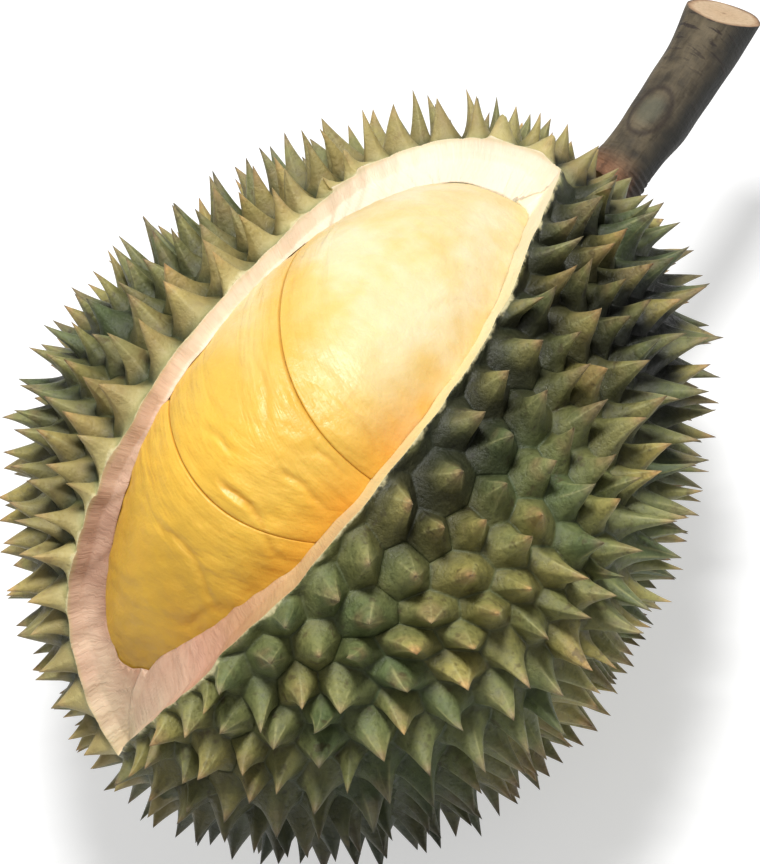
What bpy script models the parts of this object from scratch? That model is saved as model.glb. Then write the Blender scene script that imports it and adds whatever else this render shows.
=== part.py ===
"""Durian lying on its side with one valve cut away.

A spiny husk opened by one long window, three arils in the opened locule and
the cut stem.  Metres, +Z up, resting on Z = 0.  The shape is worked out around
the middle of the fruit first: +X along the fruit axis towards the stem, +Z
towards the opened lobe.  A last step lifts it onto its blunted lowest spikes.
"""
import math

import bmesh
import bpy
import numpy as np

# Rind without its spikes; the egg shape is a polynomial along the axis
BODY_HALF_LENGTH = 0.1055
BODY_RADIUS = 0.0795
EGG_SHAPE = (1.0, -0.215, -0.200, 0.235, 0.160)
LOBE_COUNT = 5
LOBE_DEPTH = 0.070

# Places of the spikes
SPIKE_COUNT = 880
SPIKE_SPACING = 0.0129
SPIKE_SEED = 11
POLE_SPACING_SHARE = 0.80
STEM_SEAT_SPACING = 0.0180
STEM_SEAT = (0.990, -0.126, 0.053)
SPREADING_ROUNDS = 70
SPREADING_REACH = 1.5
SPREADING_STEP = 0.75
START_DISORDER = 0.035
FAR_SIDE_FINENESS = 0.20
FINE_SIDE_WIDTH = 70.0
STEM_HALF_FINENESS = 0.14
RIM_REACH = 0.0085
RIM_STEP = 0.0045

# Size of the spikes; turns and widths in degrees round the axis, from +Z to +Y
SPIKE_HEIGHT = 0.0112
SPIKE_HEIGHT_SPREAD = 0.12
SPIKE_LEAN = 0.10
VALLEY_DEPTH = 0.0010
NEAR_SIDE_GROWTH = 0.27
NEAR_SIDE_TURN = -80.0
NEAR_SIDE_WIDTH = 50.0
STEM_HALF_START = 0.18
STEM_HALF_SHARPNESS = 6.0
FAR_STEM_GROWTH = 0.38
FAR_BLOSSOM_GROWTH = -0.20
FAR_SIDE_TURN = 85.0
FAR_SIDE_WIDTH = 45.0
BLOSSOM_SHORTENING = 0.30
BLOSSOM_START = 0.72
SEAT_SHORTENING = 0.82
SEAT_REACH = 0.027

# Window cut through the rind, in degrees seen from its middle:
# first towards the stem, then towards +Y
WINDOW_POLAR_ANGLE = 77.0
WINDOW_FAR_EDGE = (
    (71, -11.5), (71.5, -2), (70, 9), (69.5, 20), (67, 30), (61, 37), (54, 39.5),
    (45, 38.5), (33, 34), (16, 27), (2, 27), (-8, 27.5), (-20, 29), (-31, 31),
    (-43, 30.5), (-53, 27), (-63, 20.5), (-73, 12))
WINDOW_NEAR_EDGE = (
    (-73, 12), (-55, -1.5), (-45, -9), (-34, -14.5), (-22, -20.5), (-8, -24.5),
    (8, -27), (22, -28), (38, -25), (55, -18.5), (71, -11.5))
OUTLINE_STEPS = 5
PLUG_RINGS = (0.25, 0.5, 0.75, 0.9, 1.0)
FLOOR_DEPTH = 0.0240

# Wall round the window: place (0 to 1 along the far edge, 1 to 2 along the near edge),
# depth of the wall, and how fast the floor sinks away from it
WALL_SHAPE = (
    (0.0, 0.0055, 0.80), (0.15, 0.0048, 0.80), (0.75, 0.0048, 0.80), (0.88, 0.0050, 0.65),
    (0.95, 0.0048, 0.50), (1.0, 0.0045, 0.40), (1.08, 0.0052, 0.45), (1.2, 0.0082, 0.60),
    (1.3, 0.0110, 0.75), (1.42, 0.0130, 0.50), (2.0, 0.0130, 0.50))
PLUG_REACH = 0.0320

# Row of arils in the locule
ROW_START = -0.0900
ROW_END = 0.0860
ROW_MIDDLE = -0.0040
ROW_START_BLUNTNESS = 2.8
ROW_END_BLUNTNESS = 5.0
ROW_OFFSET = 0.0010
ROW_START_SHIFT = 0.0145
ROW_END_SHIFT = 0.0020
ROW_TOP_DEPTH = 0.0030
ROW_END_DEPTH = 0.0035
ROW_HALF_WIDTH = 0.0375
ROW_HALF_HEIGHT = 0.0335
ROW_GIRTH_POWER = 0.6
ARIL_RINGS = 10
ARIL_SEGMENTS = 24
ARIL_FILLET = 0.0040
FILLET_SHARE = 0.11
FILLET_TURNS = (0, 30, 60)
CAP_SIZES = (0.0, 0.45, 0.75)
ARIL_GAP = 0.0006
LOCULE_RINGS = 26
LOCULE_SEGMENTS = 32
LOCULE_GAP = 0.0015
SOLVING_ROUNDS = 14

# Creases between the arils, slanting down towards the stem: place along the fruit,
# middle of the bow across the row, strength of the bow
UPPER_CREASE = (-0.0287, -0.0367, 11.4)
LOWER_CREASE = (-0.0540, -0.0064, 14.6)
CREASE_SLANT = 0.35
CREASE_TOP = 0.0720

# Stem: root collar, waist, scar swelling and thick cut end
STEM_LENGTH = 0.0640
STEM_SIDES = 20
STEM_STATIONS = (0.0, 0.04, 0.09, 0.16, 0.28, 0.38, 0.47, 0.56, 0.68, 0.84, 1.0)
STEM_WAIST_RADIUS = 0.0074
STEM_GROWTH = 0.0026
STEM_GROWTH_POWER = 0.8
COLLAR_SWELLING = 0.0020
COLLAR_REACH = 0.12
SCAR_SWELLING = 0.0005
SCAR_PLACE = 0.47
SCAR_REACH = 0.09
STEM_BEND = -0.0020
STEM_RISE = 0.0016
SEAT_FADE_POWER = 8
CUT_SLOPE = 0.90
CUT_FADE_POWER = 6
TOUCH_GAP = 0.0003
TINY_LENGTH = 1e-6

# Resting on the ground: how much is taken off the lowest spike
BLUNTING = 0.0025


def body_radius(along):
    """Radius factor of the egg at a place along the axis, from -1 to 1."""
    return BODY_RADIUS * sum(c * along ** k for k, c in enumerate(EGG_SHAPE))


def rind_points(directions):
    """Points of the smooth five-lobed rind for an array of unit directions."""
    along = directions[:, 0]
    across = np.hypot(directions[:, 1], directions[:, 2])
    turn = np.arctan2(directions[:, 1], directions[:, 2])
    lobes = 1.0 + LOBE_DEPTH * across ** 2 * np.cos(LOBE_COUNT * turn)
    radius = body_radius(along) * lobes
    return np.column_stack((BODY_HALF_LENGTH * along,
                            radius * directions[:, 1],
                            radius * directions[:, 2]))


def unit(vectors):
    """Vectors scaled to length one."""
    return vectors / np.linalg.norm(vectors, axis=1, keepdims=True)


def rind_normals(directions):
    """Outward normals of the smooth rind."""
    helper = np.where(np.abs(directions[:, :1]) > 0.7, (0.0, 1.0, 0.0), (1.0, 0.0, 0.0))
    first = unit(np.cross(directions, helper))
    second = np.cross(directions, first)
    step = 1e-4
    here = rind_points(directions)
    edge_a = rind_points(unit(directions + step * first)) - here
    edge_b = rind_points(unit(directions + step * second)) - here
    return unit(np.cross(edge_a, edge_b))


def directions_of(points):
    """Unit directions whose rind points lie nearest under the given points."""
    along = np.clip(points[:, 0] / BODY_HALF_LENGTH, -0.999, 0.999)
    radius = body_radius(along)
    return unit(np.column_stack((points[:, 0] / BODY_HALF_LENGTH,
                                 points[:, 1] / radius, points[:, 2] / radius)))


def spiral_directions(count):
    """Evenly spread directions on a spiral from the blossom pole to the stem pole."""
    index = np.arange(count)
    along = -1.0 + (2.0 * index + 1.0) / count
    turn = index * math.pi * (3.0 - math.sqrt(5.0))
    across = np.sqrt(1.0 - along ** 2)
    return np.column_stack((along, across * np.sin(turn), across * np.cos(turn)))


def spike_spacing(directions):
    """Distance from spike to spike: finer on the far side and towards the stem."""
    turn = np.degrees(np.arctan2(directions[:, 1], directions[:, 2]))
    far_side = np.exp(-((turn - FAR_SIDE_TURN) / FINE_SIDE_WIDTH) ** 2)
    stem_half = 1.0 / (1.0 + np.exp(-STEM_HALF_SHARPNESS * (directions[:, 0] - STEM_HALF_START)))
    return SPIKE_SPACING * (1.0 - FAR_SIDE_FINENESS * far_side) * (1.0 - STEM_HALF_FINENESS * stem_half)


def nearest_rim(points, rim):
    """Distance from each point to the nearest point of the window's rim, and its number."""
    gap = np.linalg.norm(points[:, None, :] - rim[None, :, :], axis=2)
    return gap.min(axis=1), gap.argmin(axis=1)


def push_from_rim(points, rim):
    """Moves that keep the spike centres off the rim, which then runs along furrows."""
    gap, nearest = nearest_rim(points, rim)
    gap = np.maximum(gap, TINY_LENGTH)
    share = np.clip(1.0 - gap / RIM_REACH, 0.0, None)
    return RIM_STEP * (share / gap)[:, None] * (points - rim[nearest])


def spread_spikes():
    """Directions of the spike centres, pushed apart until evenly spread.

    The first one is the spike-free seat of the stem.
    """
    draw = np.random.default_rng(SPIKE_SEED)
    disorder = draw.normal(0.0, START_DISORDER, (SPIKE_COUNT, 3))
    directions = unit(spiral_directions(SPIKE_COUNT) + disorder)
    seat = unit(np.array([STEM_SEAT]))
    rim = rind_points(window_directions(window_outline()))
    for _ in range(SPREADING_ROUNDS):
        directions = np.vstack((seat, directions[1:]))
        points = rind_points(directions)
        pole = np.abs(directions[:, 0]) ** 6
        reach = spike_spacing(directions) * (1.0 - (1.0 - POLE_SPACING_SHARE) * pole)
        reach[0] = 2.0 * STEM_SEAT_SPACING - SPIKE_SPACING * POLE_SPACING_SHARE
        apart = points[:, None, :] - points[None, :, :]
        distance = np.linalg.norm(apart, axis=2)
        np.fill_diagonal(distance, 1.0)
        range_of_pair = SPREADING_REACH * 0.5 * (reach[:, None] + reach[None, :])
        push = np.clip(1.0 - distance / range_of_pair, 0.0, None) ** 2
        move = (push[:, :, None] * apart / distance[:, :, None]).sum(axis=1)
        move = SPREADING_STEP * SPIKE_SPACING * move + push_from_rim(points, rim)
        directions = directions_of(points + move)
    return np.vstack((seat, directions[1:]))


def neighbour_triangles(points):
    """Triangles between neighbouring points, from the hull of their directions."""
    mesh = bmesh.new()
    for direction in unit(points):
        mesh.verts.new(direction)
    bmesh.ops.convex_hull(mesh, input=mesh.verts[:])
    bmesh.ops.triangulate(mesh, faces=mesh.faces[:])
    mesh.verts.index_update()
    triangles = [[vert.index for vert in face.verts] for face in mesh.faces]
    mesh.free()
    return np.array(sorted(triangles))


def spike_tips(directions):
    """Tips of the spikes: longest on the near side towards the stem, short at the blossom."""
    draw = np.random.default_rng(SPIKE_SEED + 1)
    points = rind_points(directions)
    along = directions[:, 0]
    turn = np.degrees(np.arctan2(directions[:, 1], directions[:, 2]))
    near_side = np.exp(-((turn - NEAR_SIDE_TURN) / NEAR_SIDE_WIDTH) ** 2)
    far_side = np.exp(-((turn - FAR_SIDE_TURN) / FAR_SIDE_WIDTH) ** 2)
    stem_half = 1.0 / (1.0 + np.exp(-STEM_HALF_SHARPNESS * (along - STEM_HALF_START)))
    blossom_end = np.clip(-along - BLOSSOM_START, 0.0, 1.0) / (1.0 - BLOSSOM_START)
    from_seat = np.linalg.norm(points - points[0], axis=1)
    far_growth = FAR_BLOSSOM_GROWTH + (FAR_STEM_GROWTH - FAR_BLOSSOM_GROWTH) * stem_half
    share = (1.0 + NEAR_SIDE_GROWTH * near_side * stem_half + far_growth * far_side
             - BLOSSOM_SHORTENING * blossom_end)
    share *= 1.0 - SEAT_SHORTENING * np.exp(-(from_seat / SEAT_REACH) ** 2)
    spread = draw.uniform(1.0 - SPIKE_HEIGHT_SPREAD, 1.0 + SPIKE_HEIGHT_SPREAD, len(points))
    height = SPIKE_HEIGHT * share * spread
    lean = draw.normal(0.0, SPIKE_LEAN, points.shape)
    tips = points + height[:, None] * unit(rind_normals(directions) + lean)
    tips[0] = points[0]
    return tips


def spiny_body():
    """Closed mesh data of the whole husk, one many-sided pyramid for each spike."""
    directions = spread_spikes()
    points = rind_points(directions)
    triangles = neighbour_triangles(points)
    middles = points[triangles].mean(axis=1)
    valley_directions = directions_of(middles)
    valleys = rind_points(valley_directions) - VALLEY_DEPTH * rind_normals(valley_directions)
    normals = rind_normals(directions)
    around = [[] for _ in points]
    for number, triangle in enumerate(triangles):
        for site in triangle:
            around[site].append(number)
    faces = []
    for site, corners in enumerate(around):
        normal = normals[site]
        east = np.cross(normal, (0.31, 0.54, 0.78))
        north = np.cross(normal, east)
        offsets = valleys[corners] - points[site]
        bearing = np.arctan2(offsets @ north, offsets @ east)
        ring = [corners[k] + len(points) for k in np.argsort(bearing)]
        faces.extend((site, ring[k - 1], ring[k]) for k in range(len(ring)))
    return np.vstack((spike_tips(directions), valleys)), faces


def smooth_curve(knots, steps):
    """Points on a Catmull-Rom curve through the knots, without the last knot."""
    knots = np.asarray(knots, dtype=float)
    padded = np.vstack((2 * knots[0] - knots[1], knots, 2 * knots[-1] - knots[-2]))
    points = []
    for a, b, c, d in zip(padded[:-3], padded[1:-2], padded[2:-1], padded[3:]):
        for step in range(steps):
            t = step / steps
            points.append(0.5 * (2 * b + (c - a) * t + (2 * a - 5 * b + 4 * c - d) * t ** 2
                                 + (3 * b - a - 3 * c + d) * t ** 3))
    return np.array(points)


def window_directions(angles):
    """Unit directions at angles in degrees from the window's middle."""
    polar = math.radians(WINDOW_POLAR_ANGLE)
    middle = np.array([-math.cos(polar), 0.0, math.sin(polar)])
    to_stem = np.array([math.sin(polar), 0.0, math.cos(polar)])
    to_side = np.array([0.0, 1.0, 0.0])
    radians = np.radians(angles)
    spread = np.linalg.norm(radians, axis=1, keepdims=True)
    heading = (radians[:, :1] * to_stem + radians[:, 1:] * to_side) / np.maximum(spread, 1e-9)
    return np.cos(spread) * middle + np.sin(spread) * heading


def window_outline():
    """Closed outline of the window, in degrees from its middle."""
    return np.vstack((smooth_curve(WINDOW_FAR_EDGE, OUTLINE_STEPS),
                      smooth_curve(WINDOW_NEAR_EDGE, OUTLINE_STEPS)))


def wall_rule():
    """Depth of the wall and slope of the floor beside each point of the outline."""
    far_count = OUTLINE_STEPS * (len(WINDOW_FAR_EDGE) - 1)
    near_count = OUTLINE_STEPS * (len(WINDOW_NEAR_EDGE) - 1)
    place = np.concatenate((np.arange(far_count) / far_count,
                            1.0 + np.arange(near_count) / near_count))
    places, depths, slopes = np.array(WALL_SHAPE).T
    return np.interp(place, places, depths), np.interp(place, places, slopes)


def window_cutter():
    """Closed mesh data of the plug that takes the rind out of the window."""
    outline = window_outline()
    rim_points = rind_points(window_directions(outline))
    wall, slope = wall_rule()
    count = len(outline)
    centre = outline.mean(axis=0)
    verts = []
    for outside in (True, False):
        for share in (0.0,) + PLUG_RINGS:
            ring = centre + share * (outline - centre) if share else centre[None, :]
            directions = window_directions(ring)
            surface = rind_points(directions)
            inward, nearest = nearest_rim(surface, rim_points)
            depth = np.minimum(wall[nearest] + slope[nearest] * inward, FLOOR_DEPTH)
            lift = np.full(len(surface), PLUG_REACH) if outside else -depth
            verts.append(surface + lift[:, None] * rind_normals(directions))
    rim = 1 + (len(PLUG_RINGS) - 1) * count
    layer = rim + count
    faces = []
    for k in range(count):
        after = (k + 1) % count
        faces.append((0, 1 + k, 1 + after))
        faces.append((layer, layer + 1 + after, layer + 1 + k))
        for a in range(1, rim, count):
            b = a + count
            faces.append((a + k, b + k, b + after, a + after))
            faces.append((layer + a + after, layer + b + after, layer + b + k, layer + a + k))
        faces.append((rim + k, layer + rim + k, layer + rim + after, rim + after))
    return np.vstack(verts), faces


def row_section(x):
    """Half width, half height and middle (Y, Z) of the aril row at places along the axis."""
    along = np.clip(x / BODY_HALF_LENGTH, -0.98, 0.98)
    rind = body_radius(along) * np.sqrt(1.0 - along ** 2)
    girth = (rind / BODY_RADIUS) ** ROW_GIRTH_POWER
    towards_end = np.where(x < ROW_MIDDLE, (ROW_MIDDLE - x) / (ROW_MIDDLE - ROW_START),
                           (x - ROW_MIDDLE) / (ROW_END - ROW_MIDDLE))
    towards_end = np.clip(towards_end, 0.0, 1.0)
    power = np.where(x < ROW_MIDDLE, ROW_START_BLUNTNESS, ROW_END_BLUNTNESS)
    taper = np.sqrt(np.maximum(1.0 - towards_end ** power, 0.0))
    width = ROW_HALF_WIDTH * girth * taper
    height = ROW_HALF_HEIGHT * girth * taper
    top = rind - ROW_TOP_DEPTH - ROW_END_DEPTH * towards_end ** 2
    middle_z = top - ROW_HALF_HEIGHT * girth
    end_shift = np.where(x < ROW_MIDDLE, ROW_START_SHIFT, ROW_END_SHIFT)
    middle_y = ROW_OFFSET + end_shift * towards_end ** 2
    return width, height, middle_y, middle_z


def crease(shape, y, z):
    """Place along the fruit where a crease crosses a point of the row's section."""
    x, bow_middle, bow = shape
    return x + bow * (y - bow_middle) ** 2 + CREASE_SLANT * (CREASE_TOP - z)


def upper_crease(y, z):
    return crease(UPPER_CREASE, y, z)


def lower_crease(y, z):
    return crease(LOWER_CREASE, y, z)


def aril_profile(pressed_start, pressed_end, rings):
    """Rings along an aril: share of its length, step past its start, step to its end, size.

    An end pressed against the next aril is a flat cap with a rounded edge; a
    free end runs to a point.
    """
    cap = [(0.0, size) for size in CAP_SIZES]
    fillet = [(1.0 - math.cos(turn), 1.0 - FILLET_SHARE * (1.0 - math.sin(turn)))
              for turn in np.radians(FILLET_TURNS)]
    rounded = [(ARIL_FILLET * step, size) for step, size in cap + fillet]
    low_step = ARIL_FILLET if pressed_start else 0.0
    high_step = ARIL_FILLET if pressed_end else 0.0
    sizes = np.ones(rings + 1)
    sizes[0] = 1.0 if pressed_start else 0.0
    sizes[-1] = 1.0 if pressed_end else 0.0
    profile = [(0.0, step, 0.0, size) for step, size in rounded] if pressed_start else []
    for ring, size in enumerate(sizes):
        share = 0.5 - 0.5 * math.cos(math.pi * ring / rings)
        profile.append((share, low_step, high_step, size))
    if pressed_end:
        profile += [(1.0, 0.0, step, size) for step, size in reversed(rounded)]
    return profile


def aril(low_face, high_face, rings, segments, swell=0.0):
    """Closed mesh data of one aril between two faces; a missing face is a free end.

    swell makes the form larger all round, for the hollow that it lies in.
    """
    spin = 2.0 * math.pi * np.arange(segments) / segments
    profile = aril_profile(low_face is not None, high_face is not None, rings)
    verts = []
    for share, low_step, high_step, size in profile:
        turn = spin[:segments if size else 1]
        x = np.full(len(turn), ROW_START + share * (ROW_END - ROW_START))
        for _ in range(SOLVING_ROUNDS):
            width, height, middle_y, middle_z = row_section(x)
            y = middle_y + size * (width + swell) * np.sin(turn)
            z = middle_z + size * (height + swell) * np.cos(turn)
            low = low_face(y, z) + 0.5 * ARIL_GAP if low_face else ROW_START - swell
            high = high_face(y, z) - 0.5 * ARIL_GAP if high_face else ROW_END + swell
            low = low + low_step
            high = high - high_step
            x = low + share * (high - low) + np.zeros(len(turn))
        verts.append(np.column_stack((x, y, z)))
    last = 1 + (len(profile) - 2) * segments
    faces = []
    for k in range(segments):
        after = (k + 1) % segments
        faces.append((0, 1 + after, 1 + k))
        faces.append((last, last - segments + k, last - segments + after))
        for a in range(1, last - segments, segments):
            b = a + segments
            faces.append((a + k, a + after, b + after, b + k))
    return np.vstack(verts), faces


def stem_radius(share):
    """Stem radius at a share of its length from the rind to the cut."""
    collar = COLLAR_SWELLING * math.exp(-(share / COLLAR_REACH) ** 2)
    scar = SCAR_SWELLING * math.exp(-((share - SCAR_PLACE) / SCAR_REACH) ** 2)
    return STEM_WAIST_RADIUS + STEM_GROWTH * share ** STEM_GROWTH_POWER + collar + scar


def stem_mesh():
    """Closed mesh data of the cut stem, a round rod that swells to a slanting cut."""
    seat_direction = unit(np.array([STEM_SEAT]))
    outward = rind_normals(seat_direction)[0]
    base = rind_points(seat_direction)[0] + TOUCH_GAP * outward
    verts = []
    for share in STEM_STATIONS:
        bend = STEM_BEND * math.sin(math.pi * share)
        middle = base + np.array([STEM_LENGTH * share, bend, STEM_RISE * share])
        seat_share = (1.0 - share) ** SEAT_FADE_POWER / outward[0]
        cut_share = CUT_SLOPE * share ** CUT_FADE_POWER
        for side in range(STEM_SIDES):
            turn = 2.0 * math.pi * side / STEM_SIDES
            y = stem_radius(share) * math.sin(turn)
            z = stem_radius(share) * math.cos(turn)
            slope = seat_share * (outward[1] * y + outward[2] * z) + cut_share * z
            verts.append(middle + np.array([-slope, y, z]))
    last = (len(STEM_STATIONS) - 1) * STEM_SIDES
    faces = [tuple(range(STEM_SIDES)), tuple(last + k for k in reversed(range(STEM_SIDES)))]
    for a in range(0, last, STEM_SIDES):
        b = a + STEM_SIDES
        for k in range(STEM_SIDES):
            after = (k + 1) % STEM_SIDES
            faces.append((a + k, b + k, b + after, a + after))
    return np.array(verts), faces


def new_object(name, verts, faces, material=None):
    """Object with one closed mesh whose faces point out."""
    mesh = bpy.data.meshes.new(name)
    mesh.from_pydata([tuple(v) for v in verts], [], [tuple(f) for f in faces])
    form = bmesh.new()
    form.from_mesh(mesh)
    bmesh.ops.recalc_face_normals(form, faces=form.faces[:])
    if form.calc_volume(signed=True) < 0.0:
        bmesh.ops.reverse_faces(form, faces=form.faces[:])
    form.to_mesh(mesh)
    form.free()
    if material:
        mesh.materials.append(material)
    piece = bpy.data.objects.new(name, mesh)
    bpy.context.scene.collection.objects.link(piece)
    return piece


def new_material(name, colour, roughness):
    """Plain non-metal surface."""
    material = bpy.data.materials.new(name)
    material.use_nodes = True
    shader = material.node_tree.nodes["Principled BSDF"]
    shader.inputs["Base Color"].default_value = (*colour, 1.0)
    shader.inputs["Roughness"].default_value = roughness
    shader.inputs["Metallic"].default_value = 0.0
    return material


def cut_away(piece, cutter):
    """Exact Boolean difference; the cutter stays as a hidden wire guide."""
    cutter.hide_render = True
    cutter.display_type = 'WIRE'
    modifier = piece.modifiers.new(cutter.name, 'BOOLEAN')
    modifier.operation = 'DIFFERENCE'
    modifier.solver = 'EXACT'
    modifier.object = cutter


def blunt_underside(verts, faces):
    """Mesh data with everything below the ground plane cut off flat."""
    form = bmesh.new()
    corners = [form.verts.new(v) for v in verts]
    for face in faces:
        form.faces.new([corners[k] for k in face])
    whole = form.verts[:] + form.edges[:] + form.faces[:]
    bmesh.ops.bisect_plane(form, geom=whole, dist=1e-6, plane_co=(0, 0, 0),
                           plane_no=(0, 0, 1), clear_inner=True)
    open_edges = [edge for edge in form.edges if edge.is_boundary]
    bmesh.ops.holes_fill(form, edges=open_edges, sides=0)
    form.verts.index_update()
    new_verts = [tuple(vert.co) for vert in form.verts]
    new_faces = [tuple(vert.index for vert in face.verts) for face in form.faces]
    form.free()
    return new_verts, new_faces


def main():
    """Clear the scene and build the fruit."""
    for old in list(bpy.data.objects):
        bpy.data.objects.remove(old, do_unlink=True)

    rind = new_material("rind", (0.115, 0.130, 0.060), 0.62)
    flesh = new_material("flesh", (0.860, 0.600, 0.170), 0.42)
    bark = new_material("bark", (0.150, 0.110, 0.070), 0.80)

    body_verts, body_faces = spiny_body()
    stem_verts, stem_faces = stem_mesh()
    everything = np.vstack((body_verts, stem_verts))
    lowest, highest = everything.min(axis=0), everything.max(axis=0)
    shift = -0.5 * (lowest + highest)
    shift[2] = -lowest[2] - BLUNTING

    husk = new_object("husk", *blunt_underside(body_verts + shift, body_faces), rind)
    plug_verts, plug_faces = window_cutter()
    cut_away(husk, new_object("window_plug", plug_verts + shift, plug_faces))
    hollow_verts, hollow_faces = aril(None, None, LOCULE_RINGS, LOCULE_SEGMENTS, LOCULE_GAP)
    cut_away(husk, new_object("locule_hollow", hollow_verts + shift, hollow_faces))

    for name, low_face, high_face in (("aril_upper", upper_crease, None),
                                      ("aril_middle", lower_crease, upper_crease),
                                      ("aril_lower", None, lower_crease)):
        verts, faces = aril(low_face, high_face, ARIL_RINGS, ARIL_SEGMENTS)
        new_object(name, verts + shift, faces, flesh).data.shade_smooth()

    stem = new_object("stem", stem_verts + shift, stem_faces, bark)
    stem.data.shade_smooth()
    stem.data.set_sharp_from_angle(angle=math.radians(40.0))


main()
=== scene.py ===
"""Looks of the opened durian: fine spiny husk, cut pith, arils and stem, floor, light and camera.

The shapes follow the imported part's own rules at a much finer step, in the part's frame.
"""
import math

import bmesh
import bpy
import numpy as np
from mathutils import Matrix, Vector


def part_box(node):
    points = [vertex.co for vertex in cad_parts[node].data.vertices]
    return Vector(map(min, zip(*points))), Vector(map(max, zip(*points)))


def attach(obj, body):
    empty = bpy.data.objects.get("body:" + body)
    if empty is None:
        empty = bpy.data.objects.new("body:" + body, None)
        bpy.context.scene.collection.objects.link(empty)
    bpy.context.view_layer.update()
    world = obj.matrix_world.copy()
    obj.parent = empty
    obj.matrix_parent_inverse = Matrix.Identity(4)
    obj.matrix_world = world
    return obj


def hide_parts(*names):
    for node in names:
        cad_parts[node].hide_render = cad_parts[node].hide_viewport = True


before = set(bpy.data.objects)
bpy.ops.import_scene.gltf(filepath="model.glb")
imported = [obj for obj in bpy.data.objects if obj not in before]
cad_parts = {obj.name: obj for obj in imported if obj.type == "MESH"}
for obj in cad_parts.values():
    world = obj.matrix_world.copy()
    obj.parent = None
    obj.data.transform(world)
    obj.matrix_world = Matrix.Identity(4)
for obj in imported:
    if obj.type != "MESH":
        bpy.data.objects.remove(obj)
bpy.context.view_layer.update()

# --- the part's own dimensions
BODY_HALF_LENGTH = 0.1055
BODY_RADIUS = 0.0795
EGG_SHAPE = (1.0, -0.215, -0.200, 0.235, 0.160)
LOBE_COUNT = 5
LOBE_DEPTH = 0.070

SPIKE_COUNT = 880
SPIKE_SPACING = 0.0129
SPIKE_SEED = 11
POLE_SPACING_SHARE = 0.80
STEM_SEAT_SPACING = 0.0180
STEM_SEAT = (0.990, -0.126, 0.053)
SPREADING_ROUNDS = 70
SPREADING_REACH = 1.5
SPREADING_STEP = 0.75
START_DISORDER = 0.035
FAR_SIDE_FINENESS = 0.20
FINE_SIDE_WIDTH = 70.0
STEM_HALF_FINENESS = 0.14
RIM_REACH = 0.0085
RIM_STEP = 0.0045

SPIKE_HEIGHT = 0.0112
SPIKE_HEIGHT_SPREAD = 0.12
SPIKE_LEAN = 0.10
NEAR_SIDE_GROWTH = 0.27
NEAR_SIDE_TURN = -80.0
NEAR_SIDE_WIDTH = 50.0
STEM_HALF_START = 0.18
STEM_HALF_SHARPNESS = 6.0
FAR_STEM_GROWTH = 0.38
FAR_BLOSSOM_GROWTH = -0.20
FAR_SIDE_TURN = 85.0
FAR_SIDE_WIDTH = 45.0
BLOSSOM_SHORTENING = 0.30
BLOSSOM_START = 0.72
SEAT_SHORTENING = 0.82
SEAT_REACH = 0.027

WINDOW_POLAR_ANGLE = 77.0
WINDOW_FAR_EDGE = (
    (71, -11.5), (71.5, -2), (70, 9), (69.5, 20), (67, 30), (61, 37), (54, 39.5),
    (45, 38.5), (33, 34), (16, 27), (2, 27), (-8, 27.5), (-20, 29), (-31, 31),
    (-43, 30.5), (-53, 27), (-63, 20.5), (-73, 12))
WINDOW_NEAR_EDGE = (
    (-73, 12), (-55, -1.5), (-45, -9), (-34, -14.5), (-22, -20.5), (-8, -24.5),
    (8, -27), (22, -28), (38, -25), (55, -18.5), (71, -11.5))
PLUG_REACH = 0.0320

ROW_START = -0.0900
ROW_END = 0.0860
ROW_MIDDLE = -0.0040
ROW_START_BLUNTNESS = 2.8
ROW_END_BLUNTNESS = 5.0
ROW_OFFSET = 0.0010
ROW_START_SHIFT = 0.0145
ROW_END_SHIFT = 0.0020
ROW_TOP_DEPTH = 0.0030
ROW_END_DEPTH = 0.0035
ROW_HALF_WIDTH = 0.0375
ROW_HALF_HEIGHT = 0.0335
ROW_GIRTH_POWER = 0.6
UPPER_CREASE = (-0.0287, -0.0367, 11.4)
LOWER_CREASE = (-0.0540, -0.0064, 14.6)
CREASE_SLANT = 0.35
CREASE_TOP = 0.0720

STEM_LENGTH = 0.0640
STEM_WAIST_RADIUS = 0.0074
STEM_GROWTH = 0.0026
STEM_GROWTH_POWER = 0.8
COLLAR_SWELLING = 0.0020
COLLAR_REACH = 0.12
SCAR_SWELLING = 0.0005
SCAR_PLACE = 0.36
SCAR_REACH = 0.09
STEM_BEND = -0.0020
STEM_RISE = 0.0016
SEAT_FADE_POWER = 8
CUT_SLOPE = 0.90
CUT_FADE_POWER = 6
TOUCH_GAP = 0.0003

# --- fine detail of the husk
VALVE_NAMES = ("opened", "far", "far_under", "near_under", "near")
OPENED_REACH = 0.020  # husk this close to the window belongs to the opened valve
BEARING_HELPER = (0.31, 0.54, 0.78)  # any direction that is no spike's own
STEM_SITE = 0
BLUNTING = 0.0025  # how much of the lowest tips the floor takes off
EDGE_STEP = 0.00125  # step along the furrows between spikes
FURROW_DEPTH = 0.0028
FURROW_LIFT = 0.0005
SHELL_DEPTH = 0.0290  # how deep each husk piece reaches under the rind
SPIKE_RISES = (0.025, 0.06, 0.11, 0.18, 0.27, 0.37, 0.48, 0.59, 0.70, 0.80, 0.89, 0.96)
SPIKE_BODY = (0.64, 0.80)  # how much of a spike is a plain cone, the rest a wide foot
SPIKE_TAPER_POWER = 1.05
SPIKE_FOOT_POWER = 8
SPIKE_BOW = 0.07
TIP_SHARE = 0.99
OPENED_TIP_HEIGHT = 0.001
RIDGE_WIDTH = 0.26
RIDGE_DEPTH = 0.07
RIDGE_FADE = 0.22  # share of a spike's height in which its cell's outline grows ridges
RIM_FLATTENING = 0.0034
RIM_ROUGHNESS = 0.10
RIM_FIELD_LIMIT = 0.05
WELD = 1e-6
CHUNK = 4000

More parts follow.
